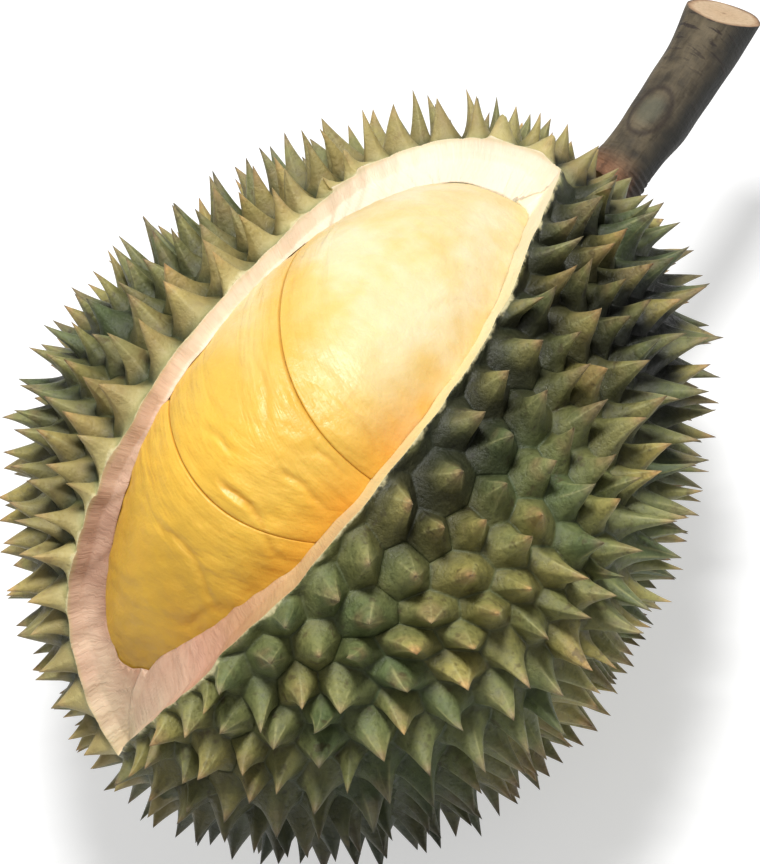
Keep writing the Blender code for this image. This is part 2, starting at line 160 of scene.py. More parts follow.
# --- the window's cut
OUTLINE_STEPS = 20
EDGE_WAVES = ((17, 0.30), (31, 0.24), (53, 0.20))  # waves round the window, and their degrees
NEAR_EDGE_CALM = 0.55  # the waves' share on the near edge
CUTTER_POINTS = 640
PLUG_ROWS = 9
WALL_ROWS = 14
WALL_LEAN = 0.012
WALL_ROUNDING = 0.85
WALL_BLUR = 12
WALL_SHAPE = (  # place along the rim, depth of the wall, slope of the floor
    (0.0, 0.0055, 0.80), (0.15, 0.0048, 0.80), (0.75, 0.0048, 0.80), (0.88, 0.0050, 0.65),
    (0.95, 0.0048, 0.50), (1.0, 0.0045, 0.40), (1.08, 0.0052, 0.45), (1.2, 0.0082, 0.60),
    (1.3, 0.0110, 0.75), (1.42, 0.0130, 0.50), (2.0, 0.0130, 0.50))
FLOOR_SHARES = 34
FLOOR_ROW_POWER = 1.6
FLOOR_FOOT = 0.0015  # how far in the wall's rounded foot reaches
FLOOR_BLUR = 16
FLOOR_DEPTH = 0.0240
SOFT_POWER = 4  # how sharply the floor follows the wall beside it

# --- fine detail of the arils
ARIL_RINGS = 150
ARIL_SEGMENTS = 190
FITTING_ROUNDS = 14
ARIL_GAP = 0.00005
ARIL_FILLET = 0.0008
ARIL_CAP_SIZES = (0.0, 0.3, 0.55, 0.75, 0.87)
FILLET_SHARE = 0.055
FILLET_LEAN = 0.40  # the rounding is widest on the far side, narrowest on the near
SWELLINGS = ((0.00032, 0.030, (0.7, 1.0, 1.0)), (0.00008, 0.0065, (1.6, 0.7, 0.7)))
ARIL_GROWTH = 0.00015
CREASE_CALM = 0.004  # no swelling at a crease, all of it this far away
CREASE_FIELD_LIMIT = 0.02
WRINKLE_WIDTH = 0.0010
WRINKLE_FADE = 0.0025
WRINKLE_BOW = 0.10
WRINKLE_BANK = 0.4
WRINKLES = (  # start and end seen from above, and depth
    ((-0.0364, 0.0113), (-0.0379, 0.0056), 0.00070), ((-0.0463, 0.0000), (-0.0514, -0.0147), 0.00095),
    ((-0.0367, -0.0121), (-0.0371, -0.0198), 0.00075), ((-0.0277, -0.0169), (-0.0280, -0.0217), 0.00060),
    ((-0.0143, 0.0124), (-0.0300, -0.0022), 0.00040), ((0.0236, -0.0163), (0.0354, -0.0224), 0.00040),
    ((-0.0142, -0.0165), (-0.0180, -0.0260), 0.00060), ((-0.0602, 0.0134), (-0.0673, -0.0034), 0.00055),
    ((-0.0738, -0.0002), (-0.0654, -0.0142), 0.00050), ((0.0060, 0.0190), (0.0230, 0.0120), 0.00030))
LOCULE_FIT = 0.0001
LOCULE_RINGS = 110
LOCULE_SEGMENTS = 150

# --- fine detail of the stem
STEM_SIDES = 90
STEM_RINGS = 220
STEM_CAP_SIZES = (0.25, 0.5, 0.75, 0.92)
CUT_EDGE_ANGLE = 50.0
BARK_RIPPLES = ((0.00016, 0.9, (1.0, 1.0, 0.35)), (0.00015, 1.1, (0.5, 0.5, 0.6)))
BARK_SEED = 31
BARK_LENGTH = 8.0  # the stem's length in the ripples' own measure
SEAT_FOLDS = (0.07, 0.06, 230.0, 0.0003)  # place, reach, rate and height of folds at the seat
# painted shade falls on one side of the stem
SHADED_SIDE_TURN = -105.0  # the stem's darker side, round from its top
SCAR_TURN = 0.0
SCAR_LENGTH = 0.0080
SCAR_WIDTH = 0.0052
FAR_FROM_SCAR = 9.0

# --- view and light
VIEW_TILT = 18.8  # camera: towards the blossom end, to the near side, rolled
VIEW_SIDE = -24.0
VIEW_ROLL = 55.0
VIEW_DISTANCE = 1.2
VIEW_HEIGHT = 0.2333
VIEW_AIM_RIGHT = 0.0022
VIEW_AIM_UP = 0.0116
FILM_WIDTH = 36.0
KEY_AIM = (-0.10, 0.62, 0.78)  # lamps: right, up and towards the camera from the fruit
KEY_DISTANCE = 1.3
KEY_SIZE = 0.34
KEY_POWER = 19.0
FILL_AIM = (-0.5, 0.0, 1.0)
FILL_DISTANCE = 1.6
FILL_SIZE = 1.0
FILL_POWER = 2.0
SKY_STRENGTH = 0.24
FLOOR_SIZE = 12.0
FLOOR_GLOW = 0.50


# --- the part's own rules
def body_radius(along):
    return BODY_RADIUS * sum(c * along ** k for k, c in enumerate(EGG_SHAPE))


def rind_points(directions):
    along = directions[:, 0]
    across = np.hypot(directions[:, 1], directions[:, 2])
    turn = np.arctan2(directions[:, 1], directions[:, 2])
    lobes = 1.0 + LOBE_DEPTH * across ** 2 * np.cos(LOBE_COUNT * turn)
    radius = body_radius(along) * lobes
    return np.column_stack((BODY_HALF_LENGTH * along,
                            radius * directions[:, 1],
                            radius * directions[:, 2]))


def unit(vectors):
    return vectors / np.linalg.norm(vectors, axis=1, keepdims=True)


def rind_normals(directions):
    helper = np.where(np.abs(directions[:, :1]) > 0.7, (0.0, 1.0, 0.0), (1.0, 0.0, 0.0))
    first = unit(np.cross(directions, helper))
    second = np.cross(directions, first)
    step = 1e-4
    here = rind_points(directions)
    edge_a = rind_points(unit(directions + step * first)) - here
    edge_b = rind_points(unit(directions + step * second)) - here
    return unit(np.cross(edge_a, edge_b))


def above_rind(directions, lift):
    """Points at a height over the rind, or at a depth under it where the height is negative."""
    return rind_points(directions) + np.reshape(lift, (-1, 1)) * rind_normals(directions)


def directions_of(points):
    along = np.clip(points[:, 0] / BODY_HALF_LENGTH, -0.999, 0.999)
    radius = body_radius(along)
    return unit(np.column_stack((points[:, 0] / BODY_HALF_LENGTH,
                                 points[:, 1] / radius, points[:, 2] / radius)))


def spiral_directions(count):
    index = np.arange(count)
    along = -1.0 + (2.0 * index + 1.0) / count
    turn = index * math.pi * (3.0 - math.sqrt(5.0))
    across = np.sqrt(1.0 - along ** 2)
    return np.column_stack((along, across * np.sin(turn), across * np.cos(turn)))


def turn_of(directions):
    """Angle round the fruit in degrees, from its top towards its far side."""
    return np.degrees(np.arctan2(directions[:, 1], directions[:, 2]))


def side_share(directions, turn, width):
    return np.exp(-((turn_of(directions) - turn) / width) ** 2)


def stem_half_share(directions):
    return 1.0 / (1.0 + np.exp(-STEM_HALF_SHARPNESS * (directions[:, 0] - STEM_HALF_START)))


def spike_spacing(directions):
    """Distance from spike to spike: finer on the far side and towards the stem."""
    far_side = side_share(directions, FAR_SIDE_TURN, FINE_SIDE_WIDTH)
    return (SPIKE_SPACING * (1.0 - FAR_SIDE_FINENESS * far_side)
            * (1.0 - STEM_HALF_FINENESS * stem_half_share(directions)))


def spread_spikes():
    """Directions of the spikes, pushed apart as in the part; the first is the stem's seat."""
    draw = np.random.default_rng(SPIKE_SEED)
    disorder = draw.normal(0.0, START_DISORDER, (SPIKE_COUNT, 3))
    directions = unit(spiral_directions(SPIKE_COUNT) + disorder)
    seat = unit(np.array([STEM_SEAT]))
    rim = rind_points(window_directions(window_outline(5)))
    for _ in range(SPREADING_ROUNDS):
        directions = np.vstack((seat, directions[1:]))
        points = rind_points(directions)
        pole = np.abs(directions[:, 0]) ** 6
        reach = spike_spacing(directions) * (1.0 - (1.0 - POLE_SPACING_SHARE) * pole)
        reach[0] = 2.0 * STEM_SEAT_SPACING - SPIKE_SPACING * POLE_SPACING_SHARE
        apart = points[:, None, :] - points[None, :, :]
        distance = np.linalg.norm(apart, axis=2)
        np.fill_diagonal(distance, 1.0)
        range_of_pair = SPREADING_REACH * 0.5 * (reach[:, None] + reach[None, :])
        push = np.clip(1.0 - distance / range_of_pair, 0.0, None) ** 2
        move = SPREADING_STEP * SPIKE_SPACING * (push[:, :, None] * apart / distance[:, :, None]).sum(axis=1)
        from_rim = points[:, None, :] - rim[None, :, :]
        gap = np.linalg.norm(from_rim, axis=2)
        nearest = gap.argmin(axis=1)
        rows = np.arange(len(points))
        gap = np.maximum(gap[rows, nearest], 1e-6)
        away = from_rim[rows, nearest] / gap[:, None]
        move += RIM_STEP * np.clip(1.0 - gap / RIM_REACH, 0.0, None)[:, None] * away
        directions = directions_of(points + move)
    return np.vstack((seat, directions[1:]))


def neighbour_triangles(points):
    mesh = bmesh.new()
    for direction in unit(points):
        mesh.verts.new(direction)
    bmesh.ops.convex_hull(mesh, input=mesh.verts[:])
    bmesh.ops.triangulate(mesh, faces=mesh.faces[:])
    mesh.verts.index_update()
    triangles = [[vert.index for vert in face.verts] for face in mesh.faces]
    mesh.free()
    return np.array(sorted(triangles))


def spike_tips(directions):
    draw = np.random.default_rng(SPIKE_SEED + 1)
    points = rind_points(directions)
    near_side = side_share(directions, NEAR_SIDE_TURN, NEAR_SIDE_WIDTH)
    far_side = side_share(directions, FAR_SIDE_TURN, FAR_SIDE_WIDTH)
    stem_half = stem_half_share(directions)
    blossom_end = np.clip(-directions[:, 0] - BLOSSOM_START, 0.0, 1.0) / (1.0 - BLOSSOM_START)
    from_seat = np.linalg.norm(points - points[0], axis=1)
    far_growth = FAR_BLOSSOM_GROWTH + (FAR_STEM_GROWTH - FAR_BLOSSOM_GROWTH) * stem_half
    share = (1.0 + NEAR_SIDE_GROWTH * near_side * stem_half + far_growth * far_side
             - BLOSSOM_SHORTENING * blossom_end)
    share *= 1.0 - SEAT_SHORTENING * np.exp(-(from_seat / SEAT_REACH) ** 2)
    spread = draw.uniform(1.0 - SPIKE_HEIGHT_SPREAD, 1.0 + SPIKE_HEIGHT_SPREAD, len(points))
    height = SPIKE_HEIGHT * share * spread
    lean = draw.normal(0.0, SPIKE_LEAN, points.shape)
    tips = points + height[:, None] * unit(rind_normals(directions) + lean)
    tips[0] = points[0]
    return tips


def smooth_curve(knots, steps):
    knots = np.asarray(knots, dtype=float)
    padded = np.vstack((2 * knots[0] - knots[1], knots, 2 * knots[-1] - knots[-2]))
    points = []
    for a, b, c, d in zip(padded[:-3], padded[1:-2], padded[2:-1], padded[3:]):
        for step in range(steps):
            t = step / steps
            points.append(0.5 * (2 * b + (c - a) * t + (2 * a - 5 * b + 4 * c - d) * t ** 2
                                 + (3 * b - a - 3 * c + d) * t ** 3))
    return np.array(points)


def window_axes():
    """Direction through the window's middle and, square to it, the one towards the stem."""
    polar = math.radians(WINDOW_POLAR_ANGLE)
    return (np.array([-math.cos(polar), 0.0, math.sin(polar)]),
            np.array([math.sin(polar), 0.0, math.cos(polar)]))


def window_directions(angles):
    middle, to_stem = window_axes()
    to_side = np.array([0.0, 1.0, 0.0])
    radians = np.radians(angles)
    spread = np.linalg.norm(radians, axis=1, keepdims=True)
    heading = (radians[:, :1] * to_stem + radians[:, 1:] * to_side) / np.maximum(spread, 1e-9)
    return np.cos(spread) * middle + np.sin(spread) * heading


def window_outline(steps):
    return np.vstack((smooth_curve(WINDOW_FAR_EDGE, steps), smooth_curve(WINDOW_NEAR_EDGE, steps)))


def uneven_outline():
    """The outline as the knife left it, slightly wavy, and each point's place along the window:
    from 0 at the stem to 1 at the tip on the far edge, and on to 2 on the near edge."""
    outline = window_outline(OUTLINE_STEPS)
    far_count = OUTLINE_STEPS * (len(WINDOW_FAR_EDGE) - 1)
    near_count = len(outline) - far_count
    edge_place = np.concatenate((np.arange(far_count) / far_count,
                                 1.0 + np.arange(near_count) / near_count))
    turn = 2.0 * math.pi * np.arange(len(outline)) / len(outline)
    fade = np.where(edge_place < 1.0, 1.0, NEAR_EDGE_CALM)
    for waves, size in EDGE_WAVES:
        outline[:, 1] += fade * size * np.sin(waves * turn + size * 9.0 + 2.0 * np.sin(3.0 * turn))
    return outline, edge_place


def row_section(x):
    along = np.clip(x / BODY_HALF_LENGTH, -0.98, 0.98)
    rind = body_radius(along) * np.sqrt(1.0 - along ** 2)
    girth = (rind / BODY_RADIUS) ** ROW_GIRTH_POWER
    towards_end = np.where(x < ROW_MIDDLE, (ROW_MIDDLE - x) / (ROW_MIDDLE - ROW_START),
                           (x - ROW_MIDDLE) / (ROW_END - ROW_MIDDLE))
    towards_end = np.clip(towards_end, 0.0, 1.0)
    power = np.where(x < ROW_MIDDLE, ROW_START_BLUNTNESS, ROW_END_BLUNTNESS)
    taper = np.sqrt(np.maximum(1.0 - towards_end ** power, 0.0))
    width = ROW_HALF_WIDTH * girth * taper
    height = ROW_HALF_HEIGHT * girth * taper
    top = rind - ROW_TOP_DEPTH - ROW_END_DEPTH * towards_end ** 2
    middle_z = top - ROW_HALF_HEIGHT * girth
    end_shift = np.where(x < ROW_MIDDLE, ROW_START_SHIFT, ROW_END_SHIFT)
    middle_y = ROW_OFFSET + end_shift * towards_end ** 2
    return width, height, middle_y, middle_z


def crease(place, y, z):
    x, bow_middle, bow = place
    return x + bow * (y - bow_middle) ** 2 + CREASE_SLANT * (CREASE_TOP - z)


def upper_crease(y, z):
    return crease(UPPER_CREASE, y, z)


def lower_crease(y, z):
    return crease(LOWER_CREASE, y, z)


def tube_faces(rings, sides):
    """Faces of a tube of rings, closed by fans round the two points that follow them."""
    total = rings * sides
    faces = []
    for k in range(sides):
        after = (k + 1) % sides
        faces.append((total, k, after))
        faces.append((total - sides + after, total - sides + k, total + 1))
        for a in range(0, total - sides, sides):
            faces.append((a + k, a + k + sides, a + after + sides, a + after))
    return faces


def aril_profile(pressed_start, pressed_end, rings):
    """Rings of an aril: share of the way, steps in from both ends, and size. A pressed end is a flat
    face with a rounded edge, and any other end closes by the taper of the whole row."""
    rounded = [(0.0, size) for size in ARIL_CAP_SIZES]
    rounded += [(ARIL_FILLET * (1.0 - math.cos(turn)), 1.0 - FILLET_SHARE * (1.0 - math.sin(turn)))
                for turn in np.radians(range(0, 90, 15))]
    low_step = ARIL_FILLET if pressed_start else 0.0
    high_step = ARIL_FILLET if pressed_end else 0.0
    sizes = np.ones(rings + 1)
    sizes[[0, -1]] = pressed_start, pressed_end
    profile = [(0.0, step, 0.0, size) for step, size in rounded] if pressed_start else []
    for ring, size in enumerate(sizes):
        profile.append((0.5 - 0.5 * math.cos(math.pi * ring / rings), low_step, high_step, size))
    if pressed_end:
        profile += [(1.0, 0.0, step, size) for step, size in reversed(rounded)]
    return profile


def aril(low_face, high_face, rings, segments, swell=0.0):
    """Points and faces of one aril, pressed flat against the faces that it is given."""
    spin = 2.0 * math.pi * np.arange(segments) / segments
    verts = []
    for share, low_step, high_step, size in aril_profile(bool(low_face), bool(high_face), rings):
        turn = spin[:segments if size else 1]
        if size:
            size = 1.0 - (1.0 - size) * (1.0 - FILLET_LEAN + FILLET_LEAN * np.sin(turn))
        x = np.full(len(turn), ROW_START + share * (ROW_END - ROW_START))
        for _ in range(FITTING_ROUNDS):
            width, height, middle_y, middle_z = row_section(x)
            y = middle_y + size * (width + swell) * np.sin(turn)
            z = middle_z + size * (height + swell) * np.cos(turn)
            low = low_face(y, z) + 0.5 * ARIL_GAP if low_face else ROW_START - swell
            high = high_face(y, z) - 0.5 * ARIL_GAP if high_face else ROW_END + swell
            low = low + low_step
            x = low + share * (high - high_step - low) + np.zeros(len(turn))
        verts.append(np.column_stack((x, y, z)))
    return np.vstack(verts[1:-1] + [verts[0], verts[-1]]), tube_faces(len(verts) - 2, segments)


# --- helpers
def ripple(points, wavelength, seed, waves=28):
    """Smooth random field with about unit size, the same each run."""
    draw = np.random.default_rng(seed)
    heading = unit(draw.normal(size=(waves, 3)))
    number = 2.0 * math.pi / wavelength * draw.uniform(0.6, 1.4, waves)
    phase = draw.uniform(0.0, 2.0 * math.pi, waves)
    total = np.zeros(len(points))
    for k in range(waves):
        total += np.sin(points @ (heading[k] * number[k]) + phase[k])
    return total / math.sqrt(0.5 * waves)


def ripples(points, layers, seed):
    """Sum of ripples from layers of height, wavelength and squeeze, each with its own seed."""
    return sum(height * ripple(points * squeeze, wavelength, seed + number)
               for number, (height, wavelength, squeeze) in enumerate(layers))


def smooth_step(low, high, value):
    t = np.clip((value - low) / (high - low), 0.0, 1.0)
    return t * t * (3.0 - 2.0 * t)


def linked(name, data):
    thing = bpy.data.objects.new(name, data)
    bpy.context.scene.collection.objects.link(thing)
    return thing


def new_object(name, verts, faces, materials=()):
    mesh = bpy.data.meshes.new(name)
    mesh.from_pydata(verts.tolist(), [], faces)
    for material in materials:
        mesh.materials.append(material)
    mesh.validate()
    mesh.shade_smooth()
    return linked(name, mesh)


def add_fields(mesh, **fields):
    """Numbers for each point of a mesh, by name, for its material to read."""
    for name, values in fields.items():
        field = mesh.attributes.new(name, "FLOAT", "POINT")
        field.data.foreach_set("value", np.ascontiguousarray(values, dtype=np.float32))


def mesh_points(mesh):
    points = np.empty(len(mesh.vertices) * 3)
    mesh.vertices.foreach_get("co", points)
    return points.reshape(-1, 3)


def move_points(mesh, points):
    mesh.vertices.foreach_set("co", points.ravel())
    mesh.update()


def length_along(points):
    """Length along a line of points, up to each of them."""
    return np.concatenate(((0.0,), np.cumsum(np.linalg.norm(np.diff(points, axis=0), axis=1))))


def pairs_round(ring):
    """Each member of a ring with the next, the last with the first."""
    return list(zip(ring, ring[1:] + ring[:1]))


def nearest_on(points, curve):
    """Distance from each point to a curve and the number of the curve's nearest point."""
    distance, number = np.empty(len(points)), np.empty(len(points), dtype=int)
    for first in range(0, len(points), CHUNK):
        part = slice(first, first + CHUNK)
        apart = np.linalg.norm(points[part, None, :] - curve[None, :, :], axis=2)
        number[part] = apart.argmin(axis=1)
        distance[part] = apart.min(axis=1)
    return distance, number


# --- husk
class Layout:
    """Sites, furrow corners and the ordered corner rings of every spike cell."""

    def __init__(self):
        self.directions = spread_spikes()
        self.sites = rind_points(self.directions)
        self.normals = rind_normals(self.directions)
        self.tips = spike_tips(self.directions)
        triangles = neighbour_triangles(self.sites)
        corner_directions = directions_of(self.sites[triangles].mean(axis=1))
        self.corners = rind_points(corner_directions)
        self.corner_normals = rind_normals(corner_directions)
        around = [[] for _ in self.sites]
        for number, triangle in enumerate(triangles):
            for site in triangle:
                around[site].append(number)
        self.rings = [self.in_order(site, found) for site, found in enumerate(around)]

    def in_order(self, site, found):
        """The corners found round a site, in the order of their bearing."""
        normal = self.normals[site]
        east = np.cross(normal, BEARING_HELPER)
        north = np.cross(normal, east)
        offsets = self.corners[found] - self.sites[site]
        bearing = np.arctan2(offsets @ north, offsets @ east)
        return [found[k] for k in np.argsort(bearing)]


def spike_shape(base, rim, edge_share, tip, draw):
    """Rings of one spike from its furrow to its tip, and how near a ridge each of its sides is."""
    count = len(rim)
    offsets = rim - base
    radius = np.linalg.norm(offsets, axis=1)
    away = offsets / radius[:, None]
    step = np.linalg.norm(np.roll(rim, -1, axis=0) - rim, axis=1)
    bearing = 2.0 * math.pi * np.concatenate(((0.0,), np.cumsum(step)[:-1])) / step.sum()
    rounded = np.full(count, radius.mean())
    for order in (1, 2):
        for wave in (np.cos(order * bearing), np.sin(order * bearing)):
            rounded += 2.0 * (radius * wave).mean() * wave
    starts = np.flatnonzero(edge_share == 0.0)
    ridges = np.zeros(count)
    for start in starts:
        apart = np.abs((bearing - bearing[start] + math.pi) % (2.0 * math.pi) - math.pi)
        ridges = np.maximum(ridges, draw.uniform(0.15, 1.0) * np.exp(-(apart / RIDGE_WIDTH)))
    ridged = rounded * (1.0 - RIDGE_DEPTH + 2.0 * RIDGE_DEPTH * ridges)
    axis = tip - base
    length = np.linalg.norm(axis)
    sideways = np.cross(axis, draw.normal(size=3))
    sideways *= draw.uniform(0.0, SPIKE_BOW) * length / np.linalg.norm(sideways)
    body = draw.uniform(*SPIKE_BODY)
    points = []
    for rise in SPIKE_RISES:
        section = radius + (ridged - radius) * smooth_step(0.0, RIDGE_FADE, rise)
        taper = (body * (1.0 - rise) ** SPIKE_TAPER_POWER
                 + (1.0 - body) * (1.0 - rise) ** SPIKE_FOOT_POWER)
        ring = base + (taper * section)[:, None] * away + rise * axis
        points.append(ring + sideways * 4.0 * rise * (1.0 - rise))
    return points, ridges


class Growth:
    """Growing list of points with their fields, and of outer and inner faces."""

    def __init__(self):
        self.verts, self.fields, self.faces, self.inner = [], [], [], []
        self.found = {}

    def put(self, point, height=0.0, ridge=0.0, tint=0.0):
        self.verts.append(point)
        self.fields.append((height, ridge, tint))
        return len(self.verts) - 1

    def once(self, kind, number, point, ridge=0.0):
        """The number of a point that several cells share."""
        if (kind, number) not in self.found:
            self.found[kind, number] = self.put(point, 0.0, ridge)
        return self.found[kind, number]


def husk_valve(members, layout, cells_of_edge):
    """One closed piece of husk: the spikes of its cells outside, a coarse shell inside."""
    sites, tips, corner_normals = layout.sites, layout.tips, layout.corner_normals
    valve = Growth()
    furrows = {}
    inside = set(members)
    low_corners = layout.corners - FURROW_DEPTH * corner_normals
    deep_corners = layout.corners - SHELL_DEPTH * corner_normals

    def corner(number):
        return valve.once("corner", number, low_corners[number], 1.0)

    def furrow(first, second):
        """Points along the furrow from one corner to the next, without the last, and their shares."""
        low, high = sorted((first, second))
        if (low, high) not in furrows:
            a, b = low_corners[low], low_corners[high]
            steps = max(2, round(np.linalg.norm(b - a) / EDGE_STEP))
            inner = []
            for k in range(1, steps):
                u = k / steps
                normal = (1.0 - u) * corner_normals[low] + u * corner_normals[high]
                lift = FURROW_LIFT * 4.0 * u * (1.0 - u)
                point = (1.0 - u) * a + u * b + lift * normal
                inner.append(valve.put(point, 0.0, abs(2.0 * u - 1.0)))
            furrows[low, high] = inner
        inner = furrows[low, high] if first == low else furrows[low, high][::-1]
        shares = [k / (len(inner) + 1) for k in range(len(inner) + 1)]
        return [corner(first)] + inner, shares

    for site in members:
        draw = np.random.default_rng(site)
        below, shares = [], []
        for first, second in pairs_round(layout.rings[site]):
            index, share = furrow(first, second)
            below += index
            shares += share
        tint = draw.uniform()
        tip_share = 1.0
        if site != STEM_SITE:
            tip_share = TIP_SHARE
            rim = np.array([valve.verts[k] for k in below])
            rows, ridge = spike_shape(sites[site], rim, np.array(shares), tips[site], draw)
            for row, height in zip(rows, SPIKE_RISES):
                here = [valve.put(p, height, r, tint) for p, r in zip(row, ridge)]
                valve.faces += [(a, b, d, c) for (a, b), (c, d) in zip(pairs_round(below), pairs_round(here))]
                below = here
        top = valve.put(sites[site] + tip_share * (tips[site] - sites[site]), 1.0, 1.0, tint)
        valve.faces += [(a, b, top) for a, b in pairs_round(below)]
        centre = valve.put(sites[site] - SHELL_DEPTH * layout.normals[site])
        for first, second in pairs_round(layout.rings[site]):
            a = valve.once("deep", first, deep_corners[first])
            b = valve.once("deep", second, deep_corners[second])
            valve.inner.append((centre, b, a))
            if cells_of_edge[min(first, second), max(first, second)] <= inside:
                continue
            edge = furrow(first, second)[0] + [corner(second)]
            half = len(edge) // 2
            valve.inner += [(edge[j + 1], edge[j], a if j < half else b) for j in range(len(edge) - 1)]
            valve.inner.append((edge[half], a, b))
    return valve


def blur_round(values, width):
    """Values of a ring averaged over their neighbours on both sides."""
    kernel = np.ones(2 * width + 1) / (2 * width + 1)
    return np.convolve(np.concatenate((values[-width:], values, values[:width])), kernel, 'valid')


def window_cutter():
    """Plug that carves the window: a wall of changing depth round a floor that sinks inwards."""
    outline, edge_place = uneven_outline()
    closed = np.vstack((outline, outline[:1]))
    at = length_along(closed)
    wanted = np.linspace(0.0, at[-1], CUTTER_POINTS, endpoint=False)
    edge_place = np.interp(wanted, at, np.append(edge_place, 2.0))
    outline = np.column_stack([np.interp(wanted, at, closed[:, k]) for k in (0, 1)])
    places, depths, slopes = np.array(WALL_SHAPE).T
    wall = blur_round(np.interp(edge_place, places, depths), WALL_BLUR)
    slope = blur_round(np.interp(edge_place, places, slopes), WALL_BLUR)
    centre = outline.mean(axis=0)
    rim = rind_points(window_directions(outline))
    rim_step = np.linalg.norm(np.roll(rim, -1, axis=0) - rim, axis=1).mean()
    rows = []

    def drawn_in(share):
        return window_directions(centre + share * (outline - centre))

    for lift in np.linspace(PLUG_REACH, 0.0, PLUG_ROWS):
        rows.append(above_rind(drawn_in(1.0), lift))
    for step in np.arange(1, WALL_ROWS + 1) / WALL_ROWS:
        rows.append(above_rind(drawn_in(1.0 - WALL_LEAN * step ** 2), -WALL_ROUNDING * wall * step))
    for step in np.arange(1, FLOOR_SHARES) / FLOOR_SHARES:
        floor = drawn_in((1.0 - WALL_LEAN) * (1.0 - step ** FLOOR_ROW_POWER))
        apart = np.linalg.norm(rind_points(floor)[:, None, :] - rim[None, :, :], axis=2)
        inward = apart.min(axis=1)
        weights = (inward[:, None] / apart) ** SOFT_POWER
        total = weights.sum(axis=1)
        spread = math.pi / 2.0 * inward / rim_step
        inward = inward * np.minimum(1.0, (spread / total)) ** (1.0 / (SOFT_POWER - 1.0))
        beside_wall, beside_slope = weights @ wall / total, weights @ slope / total
        rounding = 1.0 - (1.0 - WALL_ROUNDING) * np.exp(-inward / FLOOR_FOOT)
        depth = np.minimum(beside_wall * rounding + beside_slope * inward, FLOOR_DEPTH)
        for _ in range(2):
            depth = blur_round(depth, 3 + round(FLOOR_BLUR * step))
        rows.append(above_rind(floor, -depth))
    middle = window_directions(centre[None, :])
    ends = [above_rind(middle, lift) for lift in (PLUG_REACH, -FLOOR_DEPTH)]
    return np.vstack(rows + ends), tube_faces(len(rows), CUTTER_POINTS)


def carve(piece, cutters):
    """Cuts the cutters' shapes out of a piece, for good."""
    for cutter in cutters:
        modifier = piece.modifiers.new(cutter.name, 'BOOLEAN')
        modifier.operation = 'DIFFERENCE'
        modifier.solver = 'MANIFOLD'
        modifier.object = cutter
    view = bpy.context.evaluated_depsgraph_get()
    cut = bpy.data.meshes.new_from_object(piece.evaluated_get(view), preserve_all_data_layers=True,
                                          depsgraph=view)
    piece.modifiers.clear()
    old = piece.data
    piece.data = cut
    bpy.data.meshes.remove(old)


def drop_folds(piece):
    """Removes pairs of tiny faces folded flat onto each other, which a cut can leave."""
    form = bmesh.new()
    form.from_mesh(piece.data)
    bmesh.ops.remove_doubles(form, verts=form.verts[:], dist=WELD)
    bmesh.ops.triangulate(form, faces=form.faces[:])
    alike = {}
    for face in form.faces:
        alike.setdefault(frozenset(vert.index for vert in face.verts), []).append(face)
    folded = [face for faces in alike.values() if len(faces) > 1 for face in faces]
    bmesh.ops.delete(form, geom=folded, context='FACES')
    form.to_mesh(piece.data)
    form.free()


def face_outward(piece):
    """Turns the faces of a closed mesh outwards."""
    form = bmesh.new()
    form.from_mesh(piece.data)
    bmesh.ops.recalc_face_normals(form, faces=form.faces[:])
    if form.calc_volume(signed=True) < 0.0:
        bmesh.ops.reverse_faces(form, faces=form.faces[:])
    form.to_mesh(piece.data)
    form.free()


def rim_curve():
    """Fine points along the window's edge, with the length along it and the place from 0 to 2."""
    outline, edge_place = uneven_outline()
    rim = rind_points(window_directions(outline))
    return rim, length_along(rim), edge_place


def in_window(directions):
    """Whether directions pass through the window, seen flat from its middle."""
    middle, to_stem = window_axes()
    least = 0.02

    def flat(vectors):
        forward = np.maximum(vectors @ middle, least)
        return np.column_stack((vectors @ to_stem, vectors[:, 1])) / forward[:, None]

    outline = flat(window_directions(window_outline(OUTLINE_STEPS)))
    points = flat(directions)
    inside = np.zeros(len(points), dtype=bool)
    for a, b in zip(outline, np.roll(outline, -1, axis=0)):
        spans = (a[1] > points[:, 1]) != (b[1] > points[:, 1])
        height = b[1] - a[1] if b[1] != a[1] else 1.0
        crossing = a[0] + (points[:, 1] - a[1]) * (b[0] - a[0]) / height
        inside ^= spans & (points[:, 0] < crossing)
    return inside & (directions @ middle > least)


def smooth_rim(points, rim):
    """Spikes and furrows flattened onto the rind where the window's edge runs through them."""
    foot_directions = directions_of(points)
    feet = rind_points(foot_directions)
    rise = points - feet
    outside = (rise * feet).sum(axis=1) > -0.5 * SHELL_DEPTH * np.linalg.norm(feet, axis=1)
    distance = np.where(in_window(foot_directions), 0.0, nearest_on(feet, rim)[0])
    share = np.where(outside, smooth_step(0.0, RIM_FLATTENING, distance), 1.0)
    share = RIM_ROUGHNESS + (1.0 - RIM_ROUGHNESS) * share
    return np.where((share < 0.999)[:, None], feet + share[:, None] * rise, points)


def add_rim_fields(mesh, rim, around, edge_place):
    distance, number = nearest_on(mesh_points(mesh), rim)
    add_fields(mesh, rim=np.minimum(distance, RIM_FIELD_LIMIT), around=around[number],
               tipward=1.0 - np.abs(1.0 - edge_place[number]), near_side=edge_place[number] > 1.0)


